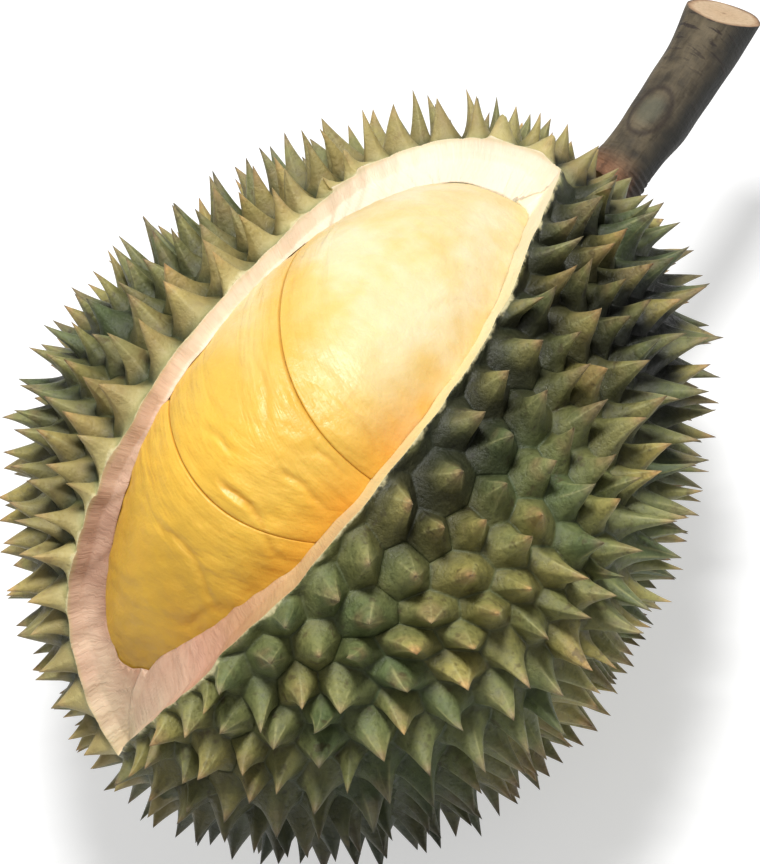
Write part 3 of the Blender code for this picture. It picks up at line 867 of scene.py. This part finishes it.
def build_husk(layout, shift, materials):
    """The husk's five valves, with the window and the locule carved out of the three they touch."""
    # spikes in the window stay low, so that the plug takes them away whole
    opened = in_window(layout.directions)
    layout.tips[opened] = (layout.sites + OPENED_TIP_HEIGHT * layout.normals)[opened]
    cells_of_edge = {}
    for site, ring in enumerate(layout.rings):
        for pair in pairs_round(ring):
            cells_of_edge.setdefault((min(pair), max(pair)), set()).add(site)
    valve = np.round(turn_of(layout.directions) / (360.0 / LOBE_COUNT)).astype(int) % LOBE_COUNT
    rim, around, edge_place = rim_curve()
    valve[opened | (nearest_on(layout.sites, rim)[0] < OPENED_REACH)] = 0
    plug = new_object("plug", *window_cutter())
    hollow = new_object("hollow", *aril(None, None, LOCULE_RINGS, LOCULE_SEGMENTS, LOCULE_FIT))
    for cutter in (plug, hollow):
        face_outward(cutter)
        cutter.data.materials.append(materials[1])
    pieces = []
    for number, name in enumerate(VALVE_NAMES):
        built = husk_valve(np.flatnonzero(valve == number).tolist(), layout, cells_of_edge)
        piece = new_object("husk_" + name, smooth_rim(np.array(built.verts), rim),
                           built.faces + built.inner, materials)
        inner = np.arange(len(built.faces) + len(built.inner)) >= len(built.faces)
        piece.data.polygons.foreach_set("material_index", inner.astype(np.int32))
        add_fields(piece.data, **dict(zip(("height", "ridge", "tint"), np.array(built.fields).T)))
        face_outward(piece)
        pieces.append(piece)
    for piece in pieces[:2] + pieces[-1:]:
        carve(piece, (plug, hollow))
        drop_folds(piece)
    for cutter in (plug, hollow):
        bpy.data.objects.remove(cutter, do_unlink=True)
    for piece in pieces:
        add_rim_fields(piece.data, rim, around, edge_place)
        points = mesh_points(piece.data) + shift
        points[:, 2] = np.maximum(points[:, 2], 0.0)
        move_points(piece.data, points)
    return pieces


# --- arils
def wrinkle_depth(points):
    """Depth of the soft wrinkles on the upper side of the arils, each between two low banks."""
    total = np.zeros(len(points))
    for start, end, depth in WRINKLES:
        start, along = np.array(start), np.array(end) - np.array(start)
        length = np.linalg.norm(along)
        along /= length
        offset = points[:, :2] - start
        share = offset @ along / length
        inner = np.clip(share, 0.0, 1.0)
        side = offset @ np.array((-along[1], along[0])) - WRINKLE_BOW * length * 4.0 * inner * (1.0 - inner)
        fade = (length * np.maximum(np.maximum(-share, share - 1.0), 0.0) / WRINKLE_FADE) ** 2
        total += depth * np.exp(-(side / WRINKLE_WIDTH) ** 2 - fade)
        total -= WRINKLE_BANK * depth * np.exp(-(side / (3.0 * WRINKLE_WIDTH)) ** 2 - fade)
    return total * (points[:, 2] > 0.5 * CREASE_TOP)


def build_aril(name, low_face, high_face, shift, material, seed):
    verts, faces = aril(low_face, high_face, ARIL_RINGS, ARIL_SEGMENTS)
    piece = new_object(name, verts, faces, (material,))
    face_outward(piece)
    points = mesh_points(piece.data)
    normals = np.empty(len(points) * 3)
    piece.data.vertex_normals.foreach_get("vector", normals)
    low = low_face(points[:, 1], points[:, 2]) if low_face else -1.0
    high = high_face(points[:, 1], points[:, 2]) if high_face else 1.0
    from_crease = np.minimum(points[:, 0] - low, high - points[:, 0])
    wrinkle = wrinkle_depth(points)
    rise = ripples(points, SWELLINGS, seed) + ARIL_GROWTH - wrinkle
    rise *= smooth_step(0.0, CREASE_CALM, from_crease)
    points = points + rise[:, None] * normals.reshape(-1, 3)
    near_edge = rind_points(window_directions(smooth_curve(WINDOW_NEAR_EDGE, OUTLINE_STEPS)))
    add_fields(piece.data, crease=np.clip(from_crease, 0.0, CREASE_FIELD_LIMIT), along=points[:, 0],
               wrinkle=wrinkle, near=nearest_on(points, near_edge)[0])
    move_points(piece.data, points + shift)
    return piece


# --- stem
def stem_radius(share):
    collar = COLLAR_SWELLING * np.exp(-(share / COLLAR_REACH) ** 2)
    scar = SCAR_SWELLING * np.exp(-((share - SCAR_PLACE) / SCAR_REACH) ** 2)
    return STEM_WAIST_RADIUS + STEM_GROWTH * share ** STEM_GROWTH_POWER + collar + scar


def build_stem(shift, materials):
    seat_direction = unit(np.array([STEM_SEAT]))
    outward = rind_normals(seat_direction)[0]
    base = rind_points(seat_direction)[0] + TOUCH_GAP * outward
    turn = 2.0 * math.pi * np.arange(STEM_SIDES) / STEM_SIDES
    apart = (turn - math.radians(SCAR_TURN) + math.pi) % (2.0 * math.pi) - math.pi
    # how far round each side is towards the side with painted shade
    shade_side = np.cos(turn - math.radians(SHADED_SIDE_TURN))
    fold_place, fold_reach, fold_rate, fold_height = SEAT_FOLDS
    stations = [(0.0, size) for size in STEM_CAP_SIZES]
    stations += [(share, 1.0) for share in np.linspace(0.0, 1.0, STEM_RINGS)]
    stations += [(1.0, size) for size in reversed(STEM_CAP_SIZES)]
    rows, fields = [], []
    for share, size in stations:
        middle = base + np.array([STEM_LENGTH * share, STEM_BEND * math.sin(math.pi * share),
                                  STEM_RISE * share])
        around = np.column_stack((np.cos(turn), np.sin(turn), np.full(STEM_SIDES, share * BARK_LENGTH)))
        folds = math.exp(-((share - fold_place) / fold_reach) ** 2) * fold_height
        radius = stem_radius(share) + folds * math.sin(share * fold_rate)
        radius = size * (radius + ripples(around, BARK_RIPPLES, BARK_SEED))
        y, z = radius * np.sin(turn), radius * np.cos(turn)
        seat_share = (1.0 - share) ** SEAT_FADE_POWER / outward[0]
        cut_share = CUT_SLOPE * share ** CUT_FADE_POWER
        slope = seat_share * (outward[1] * y + outward[2] * z) + cut_share * z
        rows.append(np.column_stack((middle[0] - slope, middle[1] + y, middle[2] + z)))
        from_scar = np.hypot(STEM_LENGTH * (share - SCAR_PLACE) / SCAR_LENGTH, radius * apart / SCAR_WIDTH)
        fields.append(np.transpose(np.broadcast_arrays(share, size, shade_side, from_scar)))
    ends = [[0.0, 0.0, 0.0, FAR_FROM_SCAR], [1.0, 0.0, 0.0, FAR_FROM_SCAR]]
    fields = np.vstack(fields + [ends])
    verts = np.vstack(rows + [rows[0].mean(axis=0), rows[-1].mean(axis=0)])
    faces = tube_faces(len(rows), STEM_SIDES)
    cut_start = (len(rows) - 1 - len(STEM_CAP_SIZES)) * STEM_SIDES
    on_cut = np.array([min(face) >= cut_start for face in faces], dtype=np.int32)
    piece = new_object("stem_bark", verts + shift, faces, materials)
    piece.data.polygons.foreach_set("material_index", on_cut)
    add_fields(piece.data, **dict(zip(("share", "size", "painted_shade_side", "scar"), fields.T)))
    face_outward(piece)
    piece.data.set_sharp_from_angle(angle=math.radians(CUT_EDGE_ANGLE))
    return piece


# --- looks
def tone(red, green, blue):
    """Linear colour of a display colour."""
    parts = (red / 255.0, green / 255.0, blue / 255.0)
    return tuple(c / 12.92 if c <= 0.04045 else ((c + 0.055) / 1.055) ** 2.4 for c in parts)


class Look:
    """One procedural material: its nodes, and the colour that is painted on it layer by layer."""

    def __init__(self, name, roughness):
        self.material = bpy.data.materials.new(name)
        self.material.use_nodes = True
        self.tree = self.material.node_tree
        self.shader = self.tree.nodes["Principled BSDF"]
        self.shader.inputs["Roughness"].default_value = roughness
        self.place = self.node('TexCoord', {}, "Object")
        self.colour = None

    def set(self, node, socket, value):
        if isinstance(value, bpy.types.NodeSocket):
            self.tree.links.new(value, node.inputs[socket])
        elif isinstance(value, tuple) and node.inputs[socket].type == 'RGBA':
            node.inputs[socket].default_value = (*value, 1.0)
        else:
            node.inputs[socket].default_value = value

    def node(self, kind, values, output=0, **settings):
        """Output of a new node with these values at its sockets."""
        node = self.tree.nodes.new('ShaderNode' + kind)
        for name, setting in settings.items():
            setattr(node, name, setting)
        for socket, value in values.items():
            self.set(node, socket, value)
        return node.outputs[output]

    def field(self, name):
        return self.node('Attribute', {}, "Fac", attribute_name=name)

    def axes(self):
        """The place along, across and up."""
        return [self.node('SeparateXYZ', {0: self.place}, part) for part in range(3)]

    def noise(self, scale, detail=4.0, roughness=0.55, place=None):
        return self.node('TexNoise', {"Vector": self.place if place is None else place, "Scale": scale,
                                      "Detail": detail, "Roughness": roughness}, "Fac")

    def grain(self, scales, detail, roughness):
        """Noise that runs along some fields: pairs of a field and its scale."""
        parts = [self.product(field, scale) for field, scale in scales]
        return self.noise(1.0, detail, roughness, self.node('CombineXYZ', dict(enumerate(parts))))

    def maths(self, operation, value, *others):
        for other in others:
            value = self.node('Math', {0: value, 1: other}, operation=operation)
        return value

    def product(self, *values):
        return self.maths('MULTIPLY', *values)

    def total(self, *values):
        return self.maths('ADD', *values)

    def spread(self, value, low, high, to_low=0.0, to_high=1.0):
        """Smooth change from to_low to to_high while the value goes from low to high."""
        numbers = dict(enumerate((value, low, high, to_low, to_high)))
        return self.node('MapRange', numbers, interpolation_type='SMOOTHSTEP')

    def fade(self, value, low, high, start=1.0):
        """Smooth fall from start to nothing while the value goes from low to high."""
        return self.spread(value, low, high, start, 0.0)

    def uneven(self, value, noise, amount, low=0.2, high=0.8):
        """The value, pushed up and down by a noise."""
        return self.total(value, self.spread(noise, low, high, -amount, amount))

    def ramp(self, value, *stops, colours=tuple):
        """Colours that change with a value: stops of place, red, green and blue."""
        node = self.tree.nodes.new('ShaderNodeValToRGB')
        self.set(node, 0, value)
        marks = node.color_ramp.elements
        while len(marks) < len(stops):
            marks.new(0.5)
        for mark, (at, *parts) in zip(marks, stops):
            mark.position = at
            mark.color = (*colours(parts), 1.0)
        return node.outputs["Color"]

    def tones(self, value, *stops):
        """A ramp whose stops are display colours."""
        return self.ramp(value, *stops, colours=lambda parts: tone(*parts))

    def mix(self, share, colour, kind='MIX'):
        """Lays another colour over the colour so far."""
        numbers = {0: share, 6: self.colour, 7: colour}
        self.colour = self.node('Mix', numbers, 2, data_type='RGBA', blend_type=kind)

    def paint(self, share, *parts):
        """Lays a display colour over the colour so far."""
        self.mix(share, tone(*parts))

    def shade(self, value, *stops, share=1.0):
        """Multiplies the colour so far by factors that change with a value."""
        self.mix(share, self.ramp(value, *stops), 'MULTIPLY')

    def finish(self, sockets, *layers):
        """Material with this colour, shader values, and relief: pairs of height and depth in metres."""
        normal = {}
        for height, depth in layers:
            values = {"Height": height, "Distance": depth, **normal}
            normal = {"Normal": self.node('Bump', values, "Normal")}
        for socket, value in {"Base Color": self.colour, **normal, **sockets}.items():
            self.set(self.shader, socket, value)
        return self.material


def rind_look():
    look = Look("rind_look", 0.46)
    height, ridge, tint, rim = (look.field(name) for name in ("height", "ridge", "tint", "rim"))
    along, across, up = look.axes()
    patches = look.noise(26.0, 3.0)
    grain = look.noise(520.0, 6.0, 0.7)
    mottle = look.noise(150.0, 4.0, 0.6)
    # green of a spike from its furrow to its tip, with a cast by patch and by spike
    level = look.uneven(height, mottle, 0.07)
    look.colour = look.tones(level, (0.0, 92, 94, 56), (0.12, 112, 114, 68), (0.32, 124, 126, 78),
                             (0.66, 140, 138, 88), (0.88, 166, 144, 104), (1.0, 92, 70, 48))
    hue = look.total(look.spread(patches, 0.35, 0.65, 0.0, 0.55), look.spread(tint, 0.0, 1.0, 0.0, 0.45))
    look.shade(hue, (0.0, 0.66, 0.84, 0.86), (0.5, 1.04, 1.02, 0.96), (1.0, 1.42, 1.19, 0.94))
    look.shade(tint, (0.0, 0.66, 0.70, 0.70), (0.35, 1.0, 1.0, 1.0), (0.65, 1.04, 1.04, 1.02),
               (1.0, 1.32, 1.24, 1.12), share=look.spread(level, 0.10, 0.40))
    brown = look.spread(look.noise(64.0, 2.0), 0.50, 0.66, 0.0, 0.50)
    look.paint(look.product(brown, look.spread(level, 0.15, 0.50)), 142, 116, 82)
    # paler ridges: partly their own paler tan, partly a painted highlight along them
    crest = look.product(look.spread(ridge, 0.25, 0.9), look.spread(height, 0.05, 0.5, 0.0, 0.42))
    look.paint(crest, 188, 184, 126)
    look.shade(grain, (0.30, 0.62, 0.62, 0.60), (0.5, 1.0, 1.0, 1.0), (0.72, 1.22, 1.20, 1.12))
    look.paint(look.spread(look.noise(240.0, 2.0), 0.62, 0.72, 0.0, 0.5), 70, 52, 34)
    # painted shade, deepest in the furrows: near side by the stem and the window, far side, lower blossom end
    stemward = look.product(look.spread(along, -0.03, 0.03), look.fade(across, -0.045, -0.02))
    beside = look.product(look.fade(rim, 0.012, 0.034, 0.85), look.fade(across, -0.005, 0.010),
                          look.spread(along, -0.085, -0.055))
    painted_shade = look.maths('MAXIMUM', stemward, beside, look.spread(across, 0.0, 0.03, 0.0, 0.50))
    look.paint(look.product(painted_shade, look.spread(level, 0.14, 0.62, 0.98, 0.28)), 9, 15, 10)
    # painted shade: dark green on the low blossom end and near side, fading upwards and towards the far side
    lifted = look.total(look.product(along, 0.78), look.product(across, 0.42), look.product(up, 0.47))
    look.paint(look.fade(lifted, -0.085, -0.045, 0.86), 10, 28, 12)
    # paler on the far side of the window, with a thin pale line all along its edge
    far = look.fade(look.field("near_side"), 0.0, 1.0)
    uneven_rim = look.total(rim, look.spread(mottle, 0.25, 0.75, -0.0010, 0.0014))
    look.paint(look.product(look.fade(uneven_rim, 0.0015, 0.0070, 0.62), far), 196, 190, 132)
    far_side_pale = look.product(look.fade(rim, 0.004, 0.034, 0.42), far, look.spread(height, 0.0, 0.25))
    look.paint(far_side_pale, 204, 178, 112)
    look.paint(look.fade(uneven_rim, 0.0, 0.0013, 0.85), 216, 204, 156)
    return look.finish({"Roughness": look.spread(grain, 0.3, 0.7, 0.36, 0.58)},
                       (grain, 0.00055), (mottle, 0.0006))


def pith_look():
    look = Look("pith_look", 0.62)
    rim, near_side = look.field("rim"), look.field("near_side")
    fibres = look.grain(((look.field("around"), 900.0), (rim, 120.0)), 4.0, 0.6)
    clouds = look.noise(70.0, 3.0)
    # the far wall turns darker mauve towards the tip: partly the pith's own brownish pink, partly painted
    # shade
    tipward = look.uneven(look.field("tipward"), clouds, 0.05)
    look.colour = look.tones(tipward, (0.00, 238, 220, 196), (0.28, 240, 222, 198), (0.54, 238, 216, 190),
                             (0.64, 222, 188, 160), (0.76, 180, 140, 116), (0.88, 218, 184, 156),
                             (1.00, 220, 202, 168))
    look.mix(near_side, look.tones(tipward, (0.00, 240, 228, 198), (0.40, 230, 208, 148),
                                   (0.68, 190, 146, 108), (0.80, 200, 154, 128), (0.92, 208, 176, 148),
                                   (1.00, 214, 198, 164)))
    # painted shade: a brown shadow band deep in the far wall, along the gap to the arils
    deep = look.product(look.spread(rim, 0.006, 0.013), look.spread(tipward, 0.40, 0.72, 0.0, 0.72),
                        look.fade(tipward, 0.84, 1.0), look.fade(near_side, 0.0, 1.0))
    look.paint(deep, 140, 86, 54)
    look.shade(fibres, (0.30, 0.84, 0.79, 0.77), (0.55, 1.0, 1.0, 1.0), (0.75, 1.04, 1.04, 1.03),
               share=look.spread(tipward, 0.40, 0.72, 0.15, 0.9))
    look.paint(look.fade(rim, 0.0, 0.0016, 0.40), 190, 182, 120)
    return look.finish({"Subsurface Weight": 0.12, "Subsurface Radius": (0.9, 0.5, 0.35),
                        "Subsurface Scale": 0.002}, (fibres, 0.00035), (clouds, 0.0010))


def flesh_look():
    look = Look("flesh_look", 0.42)
    along, crease = look.field("along"), look.field("crease")
    clouds = look.noise(38.0, 3.0)
    across, up = look.axes()[1:]
    lines = look.grain(((crease, 300.0), (across, 60.0), (up, 60.0)), 3.0, 0.5)
    dimples = look.noise(330.0, 3.0)
    # colour along the row; the ochre at the blossom tip is partly painted shade, where the lower aril lies
    # deep in the husk
    share = look.spread(look.uneven(along, clouds, 0.014), -0.115, 0.080)
    look.colour = look.tones(share, (0.0, 176, 134, 46), (0.12, 206, 162, 60), (0.28, 236, 188, 72),
                             (0.48, 226, 186, 88), (0.72, 226, 200, 130), (1.0, 226, 208, 154))
    # painted shade: deeper orange along the near edge, where the flesh turns away from the light
    painted_shade_orange = look.product(look.fade(look.field("near"), 0.002, 0.019), look.spread(along, -0.075, -0.045),
                        look.spread(along, -0.030, 0.020, 0.90, 0.15))
    look.paint(painted_shade_orange, 224, 136, 14)
    look.paint(look.spread(look.noise(60.0, 4.0, 0.6), 0.45, 0.75, 0.0, 0.30), 226, 172, 70)
    # paler cream on the upper aril: partly its own paler flesh, partly a painted highlight
    cream_and_highlight = look.product(look.spread(clouds, 0.42, 0.64, 0.0, 0.50), look.spread(along, -0.020, 0.015))
    look.paint(cream_and_highlight, 238, 226, 196)
    # painted shade: darker gold beside the creases, brown in them and in the wrinkles
    edge = look.product(look.fade(crease, 0.0, 0.016, 0.65), look.spread(along, -0.06, -0.02))
    look.paint(edge, 224, 178, 74)
    look.paint(look.fade(crease, 0.0, 0.0016, 0.18), 200, 138, 54)
    look.paint(look.spread(look.field("wrinkle"), 0.0, 0.0007, 0.0, 0.45), 204, 142, 48)
    look.shade(lines, (0.30, 0.97, 0.94, 0.88), (0.5, 1.0, 1.0, 1.0), (0.75, 1.01, 1.01, 1.01))
    return look.finish({"Roughness": look.spread(dimples, 0.3, 0.7, 0.36, 0.50),
                        "Specular IOR Level": 0.35, "Subsurface Weight": 0.18,
                        "Subsurface Radius": (1.0, 0.6, 0.25), "Subsurface Scale": 0.003},
                       (lines, 0.0006), (dimples, 0.0004))


def bark_look():
    look = Look("bark_look", 0.72)
    share, scar = look.field("share"), look.field("scar")
    along, across, up = look.axes()
    grain = look.grain(((along, 90.0), (across, 420.0), (up, 420.0)), 6.0, 0.65)
    rings = look.grain(((along, 700.0), (across, 120.0), (up, 120.0)), 4.0, 0.6)
    mottle = look.noise(130.0, 4.0)
    look.colour = look.tones(mottle, (0.30, 52, 46, 36), (0.5, 84, 74, 56), (0.72, 110, 98, 76))
    look.paint(look.fade(share, 0.0, 0.16, 0.65), 150, 98, 66)
    look.shade(grain, (0.32, 0.52, 0.50, 0.48), (0.5, 1.0, 1.0, 1.0), (0.75, 1.22, 1.20, 1.16))
    # painted shade: near black down the side of the stem away from the light
    shade_side = look.uneven(look.field("painted_shade_side"), mottle, 0.15, 0.3, 0.7)
    look.paint(look.spread(shade_side, 0.25, 0.85, 0.0, 0.90), 22, 24, 22)
    look.paint(look.product(look.spread(rings, 0.56, 0.62), look.spread(share, 0.50, 0.85, 0.20, 0.90)),
               40, 30, 24)
    ring = look.maths('ABSOLUTE', look.maths('SUBTRACT', scar, 1.0), 0.0)
    look.paint(look.fade(ring, 0.0, 0.22, 0.75), 46, 36, 28)
    look.paint(look.fade(scar, 0.35, 0.85, 0.45), 112, 112, 92)
    return look.finish({}, (grain, 0.0008), (rings, 0.0007), (mottle, 0.0008))


def cut_wood_look():
    look = Look("cut_wood_look", 0.75)
    pores = look.noise(900.0, 5.0, 0.7)
    uneven = look.uneven(look.field("size"), look.noise(160.0, 3.0), 0.06)
    look.colour = look.tones(uneven, (0.0, 168, 132, 98), (0.12, 206, 174, 136), (0.80, 212, 184, 148),
                             (0.92, 180, 142, 106), (1.0, 100, 78, 58))
    look.shade(pores, (0.30, 0.78, 0.74, 0.70), (0.55, 1.0, 1.0, 1.0), (1.0, 1.04, 1.04, 1.04))
    return look.finish({}, (pores, 0.0004))


def floor_look():
    look = Look("floor_look", 0.9)
    look.colour = look.ramp(look.noise(3.0, 3.0), (0.3, 0.60, 0.60, 0.60), (0.7, 0.63, 0.63, 0.63))
    return look.finish({"Emission Color": (1.0, 1.0, 1.0), "Emission Strength": FLOOR_GLOW})


# --- stage
def facing(direction, up):
    """Rotation of a camera or lamp that looks against the direction, with its top towards up."""
    back = Vector(direction).normalized()
    right = Vector(up).cross(back).normalized()
    top = back.cross(right)
    return Matrix((right, top, back)).transposed()


def place(thing, location, rotation):
    thing.matrix_world = Matrix.Translation(location) @ rotation.to_4x4()


def add_camera(middle):
    """Long lens above the blossom end, rolled so that the fruit stands on its blossom end."""
    tilt, side, roll = (math.radians(a) for a in (VIEW_TILT, VIEW_SIDE, VIEW_ROLL))
    towards = Vector((-math.sin(tilt), math.cos(tilt) * math.sin(side), math.cos(tilt) * math.cos(side)))
    along = Vector((math.cos(tilt), math.sin(tilt) * math.sin(side), math.sin(tilt) * math.cos(side)))
    across = along.cross(towards)
    right = math.cos(roll) * along + math.sin(roll) * across
    up = math.sin(roll) * along - math.cos(roll) * across
    lens = bpy.data.cameras.new("camera")
    lens.sensor_width = FILM_WIDTH
    lens.lens = FILM_WIDTH * VIEW_DISTANCE / VIEW_HEIGHT
    lens.clip_start = 0.05
    lens.clip_end = 10.0
    camera = linked("camera", lens)
    location = middle + VIEW_DISTANCE * towards
    aim = middle + VIEW_AIM_RIGHT * right + VIEW_AIM_UP * up
    place(camera, location, facing(location - aim, up))
    bpy.context.scene.camera = camera
    return right, up, towards


def add_lamp(name, target, view, aim, distance, size, power):
    light = bpy.data.lights.new(name, 'AREA')
    light.shape = 'DISK'
    light.size = size
    light.energy = power
    direction = sum((share * axis for share, axis in zip(aim, view)), Vector())
    location = target + distance * direction.normalized()
    place(linked(name, light), location, facing(location - target, (0.0, 1.0, 0.0)))


def main():
    scene = bpy.context.scene
    scene.view_settings.view_transform = 'Standard'
    scene.view_settings.look = 'None'

    layout = Layout()
    husk_low, husk_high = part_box("husk")
    shift = np.array([husk_low[0] - layout.tips[:, 0].min(), husk_high[1] - layout.tips[:, 1].max(),
                      -layout.tips[:, 2].min() - BLUNTING])
    middle = Vector(shift)

    flesh = flesh_look()
    for piece in build_husk(layout, shift, (rind_look(), pith_look())):
        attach(piece, "root")
        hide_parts("husk")
    for node, low_face, high_face, seed in (("aril_upper", upper_crease, None, 51),
                                            ("aril_middle", lower_crease, upper_crease, 61),
                                            ("aril_lower", None, lower_crease, 71)):
        piece = build_aril(node + "_flesh", low_face, high_face, shift, flesh, seed)
        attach(piece, "root")
        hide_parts(node)
    piece = build_stem(shift, (bark_look(), cut_wood_look()))
    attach(piece, "root")
    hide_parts("stem")

    bpy.ops.mesh.primitive_plane_add(size=FLOOR_SIZE, location=(0.0, 0.0, 0.0))
    floor = bpy.context.object
    floor.name = "floor"
    floor.data.materials.append(floor_look())

    view = add_camera(middle)
    add_lamp("key", middle, view, KEY_AIM, KEY_DISTANCE, KEY_SIZE, KEY_POWER)
    add_lamp("fill", middle, view, FILL_AIM, FILL_DISTANCE, FILL_SIZE, FILL_POWER)
    world = bpy.data.worlds.new("studio")
    world.use_nodes = True
    sky = world.node_tree.nodes["Background"]
    sky.inputs["Color"].default_value = (1.0, 1.0, 1.0, 1.0)
    sky.inputs["Strength"].default_value = SKY_STRENGTH
    scene.world = world


main()
